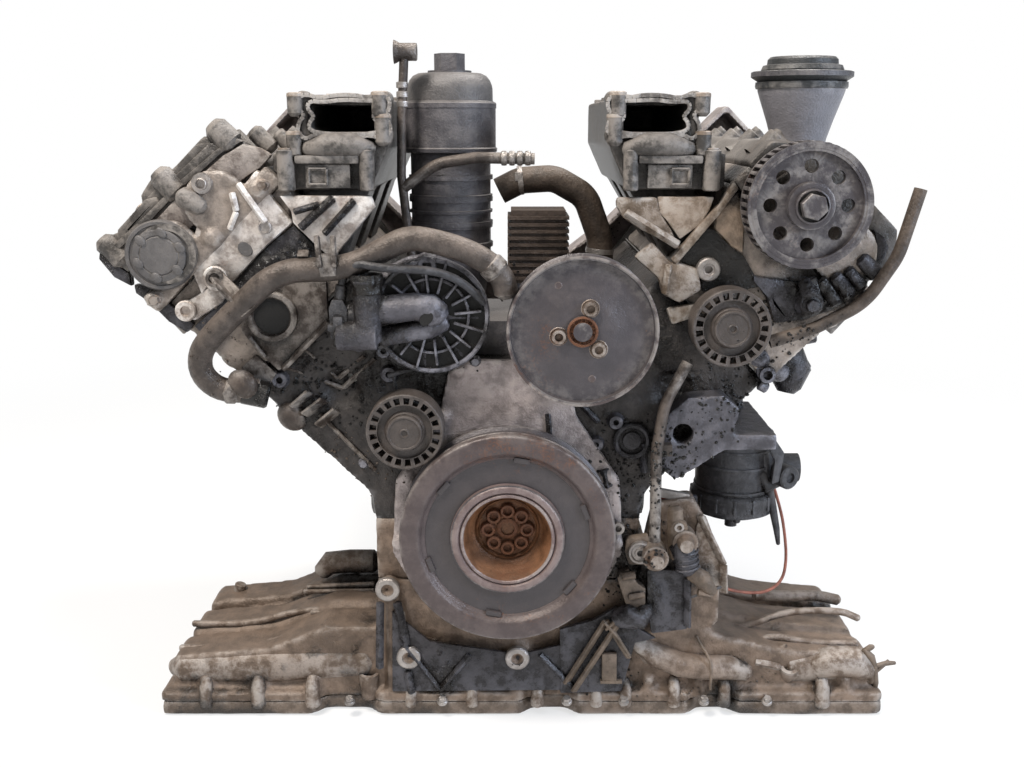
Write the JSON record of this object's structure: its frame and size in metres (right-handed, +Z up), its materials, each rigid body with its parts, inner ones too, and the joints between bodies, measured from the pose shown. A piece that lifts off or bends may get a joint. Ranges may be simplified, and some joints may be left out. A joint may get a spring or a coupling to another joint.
{
  "type": "engine",
  "caption": "Used V6 diesel engine with crank damper, steering pump pulley, idlers, cam belt pulley, heads, covers, upright oil filter, filler neck and a wide cast sump; belt removed.",
  "frame": {"origin": "centre of the crankshaft flange's rear face, on the crank axis", "axes": "+Z up, +Y along the crank axis towards the flywheel end, +X to the right seen from the pulley end"},
  "size_m": [0.7091, 0.451, 0.617],
  "materials": {
    "block_casting": "oily cast surface with grime",
    "lower_casting": "oil-stained casting",
    "sump_pan": "dusty casting",
    "head_aluminium": "soiled bare casting",
    "cover_plastic": "dusty black moulding",
    "cover_aluminium": "soiled bare casting",
    "bracket_aluminium": "oily casting",
    "housing_plastic": "dusty black moulding",
    "idler_plastic": "dusty black moulding",
    "pulley_steel": "worn satin grey with rust",
    "machined_steel": "oiled machined steel",
    "piston_alloy": "machined with dark crown",
    "bolt_steel": "rusty bolt heads",
    "gasket_steel": "thin steel sheet",
    "pipe_metal": "dull brown coated tube",
    "cooler_aluminium": "oily black stack",
    "hose_rubber": "dusty rubber",
    "mount_rubber": "oily rubber and steel",
    "lead_insulation": "thin sheathed lead",
    "filter_paper": "pleated paper",
    "impeller_plastic": "moulded"
  },
  "bodies": {
    "block": {"engine_block": "block_casting", "main_bearing_frame": "lower_casting", "upper_sump": "lower_casting", "lower_sump": "sump_pan", "cylinder_head_left": "head_aluminium", "cylinder_head_right": "head_aluminium", "cam_frame_left": "head_aluminium", "cam_frame_right": "head_aluminium", "valve_cover_left": "cover_plastic", "valve_cover_right": "cover_plastic", "cam_end_cap": "cover_plastic", "inlet_manifold_left": "cover_plastic", "inlet_manifold_right": "cover_plastic", "rear_timing_cover": "cover_aluminium", "front_cover": "cover_aluminium", "oil_pump_housing": "cover_aluminium", "coolant_pump_housing": "bracket_aluminium", "thermostat_housing": "bracket_aluminium", "mount_bracket": "bracket_aluminium", "steering_pump": "bracket_aluminium", "oil_filter_housing": "housing_plastic", "oil_filler_neck": "housing_plastic", "valves": "machined_steel", "timing_chains": "machined_steel", "idler_axles": "bolt_steel", "oil_senders": "bolt_steel", "head_gaskets": "gasket_steel", "coolant_pipe": "pipe_metal", "return_pipe": "pipe_metal", "dipstick_tube": "pipe_metal", "oil_cooler": "cooler_aluminium", "breather_hose": "hose_rubber", "vent_hose": "hose_rubber", "engine_mount": "mount_rubber", "mount_lead": "lead_insulation", "oil_filter_element": "filter_paper"},
    "crank": {"crankshaft": "machined_steel", "crank_damper": "pulley_steel", "damper_bolts": "bolt_steel"},
    "piston_1_body": {"piston_1": "piston_alloy"},
    "piston_2_body": {"piston_2": "piston_alloy"},
    "piston_3_body": {"piston_3": "piston_alloy"},
    "piston_4_body": {"piston_4": "piston_alloy"},
    "piston_5_body": {"piston_5": "piston_alloy"},
    "piston_6_body": {"piston_6": "piston_alloy"},
    "camshaft_left_inlet_body": {"camshaft_left_inlet": "machined_steel"},
    "camshaft_left_exhaust_body": {"camshaft_left_exhaust": "machined_steel"},
    "camshaft_right_inlet_body": {"camshaft_right_inlet": "machined_steel", "cam_belt_pulley": "pulley_steel", "cam_pulley_bolt": "bolt_steel"},
    "camshaft_right_exhaust_body": {"camshaft_right_exhaust": "machined_steel"},
    "balance": {"balance_shaft": "machined_steel"},
    "oil_pump": {"oil_pump_rotor": "machined_steel"},
    "steering_pulley": {"steering_pump_pulley": "pulley_steel", "pump_pulley_bolts": "bolt_steel"},
    "left_idler": {"idler_left": "idler_plastic"},
    "right_idler": {"idler_right": "idler_plastic"},
    "impeller": {"coolant_pump_impeller": "impeller_plastic"},
    "filler_cap_body": {"oil_filler_cap": "housing_plastic"},
    "filter_cap_body": {"oil_filter_cap": "housing_plastic"}
  },
  "joints": [
    {"name": "crank_turn", "type": "hinge", "parent": "block", "child": "crank", "pos_m": [0, 0, 0], "axis": [0, 1, 0], "continuous": true},
    {"name": "piston_1_slide", "type": "slide", "parent": "block", "child": "piston_1_body", "axis": [-0.7071, 0, 0.7071], "range_m": [-0.0914, 0]},
    {"name": "piston_2_slide", "type": "slide", "parent": "block", "child": "piston_2_body", "axis": [-0.7071, 0, 0.7071], "range_m": [-0.0179, 0.0735]},
    {"name": "piston_3_slide", "type": "slide", "parent": "block", "child": "piston_3_body", "axis": [-0.7071, 0, 0.7071], "range_m": [-0.0179, 0.0735]},
    {"name": "piston_4_slide", "type": "slide", "parent": "block", "child": "piston_4_body", "axis": [0.7071, 0, 0.7071], "range_m": [-0.0179, 0.0735]},
    {"name": "piston_5_slide", "type": "slide", "parent": "block", "child": "piston_5_body", "axis": [0.7071, 0, 0.7071], "range_m": [-0.0179, 0.0735]},
    {"name": "piston_6_slide", "type": "slide", "parent": "block", "child": "piston_6_body", "axis": [0.7071, 0, 0.7071], "range_m": [-0.0914, 0]},
    {"name": "camshaft_left_inlet_turn", "type": "hinge", "parent": "block", "child": "camshaft_left_inlet_body", "pos_m": [-0.24749, -0.2, 0.28991], "axis": [0, 1, 0], "continuous": true},
    {"name": "camshaft_left_exhaust_turn", "type": "hinge", "parent": "block", "child": "camshaft_left_exhaust_body", "pos_m": [-0.28991, -0.2, 0.24749], "axis": [0, 1, 0], "continuous": true},
    {"name": "camshaft_right_inlet_turn", "type": "hinge", "parent": "block", "child": "camshaft_right_inlet_body", "pos_m": [0.24749, -0.2, 0.28991], "axis": [0, 1, 0], "continuous": true},
    {"name": "camshaft_right_exhaust_turn", "type": "hinge", "parent": "block", "child": "camshaft_right_exhaust_body", "pos_m": [0.28991, -0.2, 0.24749], "axis": [0, 1, 0], "continuous": true},
    {"name": "balance_shaft_turn", "type": "hinge", "parent": "block", "child": "balance", "pos_m": [0, -0.4, 0.118], "axis": [0, 1, 0], "continuous": true},
    {"name": "oil_pump_turn", "type": "hinge", "parent": "block", "child": "oil_pump", "pos_m": [0, -0.4, -0.128], "axis": [0, 1, 0], "continuous": true},
    {"name": "steering_pulley_turn", "type": "hinge", "parent": "block", "child": "steering_pulley", "pos_m": [0.0634, -0.4, 0.185], "axis": [0, 1, 0], "continuous": true},
    {"name": "idler_left_turn", "type": "hinge", "parent": "block", "child": "left_idler", "pos_m": [-0.0887, -0.4, 0.096], "axis": [0, 1, 0], "continuous": true},
    {"name": "idler_right_turn", "type": "hinge", "parent": "block", "child": "right_idler", "pos_m": [0.1897, -0.4, 0.187], "axis": [0, 1, 0], "continuous": true},
    {"name": "coolant_impeller_turn", "type": "hinge", "parent": "block", "child": "impeller", "pos_m": [-0.072, -0.4, 0.193], "axis": [0, 1, 0], "continuous": true},
    {"name": "oil_filler_cap_lift", "type": "slide", "parent": "block", "child": "filler_cap_body", "axis": [0, 0, 1], "range_m": [0, 0.04]},
    {"name": "oil_filter_cap_lift", "type": "slide", "parent": "block", "child": "filter_cap_body", "axis": [0, 0, 1], "range_m": [0, 0.05]}
  ],
  "couplings": [
    {"joint": "piston_6_slide", "follows": "piston_1_slide", "ratio": 1},
    {"joint": "piston_4_slide", "follows": "piston_2_slide", "ratio": 1},
    {"joint": "piston_5_slide", "follows": "piston_3_slide", "ratio": 1},
    {"joint": "camshaft_left_inlet_turn", "follows": "crank_turn", "ratio": 0.5},
    {"joint": "camshaft_left_exhaust_turn", "follows": "crank_turn", "ratio": -0.5},
    {"joint": "camshaft_right_inlet_turn", "follows": "crank_turn", "ratio": 0.5},
    {"joint": "camshaft_right_exhaust_turn", "follows": "crank_turn", "ratio": -0.5},
    {"joint": "balance_shaft_turn", "follows": "crank_turn", "ratio": -1},
    {"joint": "oil_pump_turn", "follows": "crank_turn", "ratio": 1}
  ]
}
